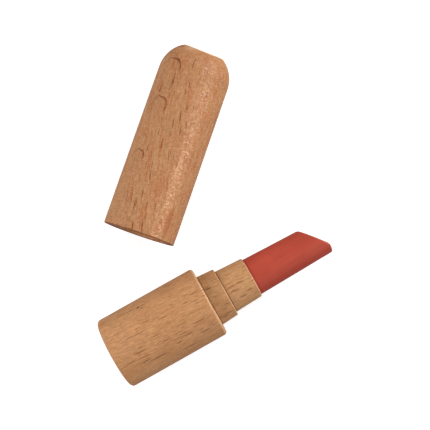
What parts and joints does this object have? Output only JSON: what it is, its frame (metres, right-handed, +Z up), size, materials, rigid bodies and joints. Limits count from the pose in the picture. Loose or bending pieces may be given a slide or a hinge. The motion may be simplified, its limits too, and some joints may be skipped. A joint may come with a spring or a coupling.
{
  "type": "toy lipstick with cap",
  "caption": "Wooden pretend-play lipstick lying on its side with its domed cap taken off: barrel, tapered collar and neck, and a red bullet with a slanted cut.",
  "frame": {"origin": "middle of the bottom of the whole object's box, on the table that the lipstick and the cap lie on", "axes": "+X along the lipstick from its foot to its tip, +Z up from the table, +Y towards the side where the cap lies"},
  "size_m": [0.0814, 0.0944, 0.025],
  "materials": {
    "beech": "sanded, clear oiled, satin",
    "red_paint": "coral red water-based paint on beech, satin",
    "beech_cap": "sanded, clear oiled, satin"
  },
  "bodies": {
    "lipstick": {"barrel": "beech", "collar": "beech", "neck": "beech", "bullet": "red_paint"},
    "cap": {"cap": "beech_cap"}
  },
  "joints": [
    {"name": "cap_pull", "type": "slide", "parent": "lipstick", "child": "cap", "axis": [0.7443, 0.6678, 0], "range_m": [0, 0.04455]}
  ]
}
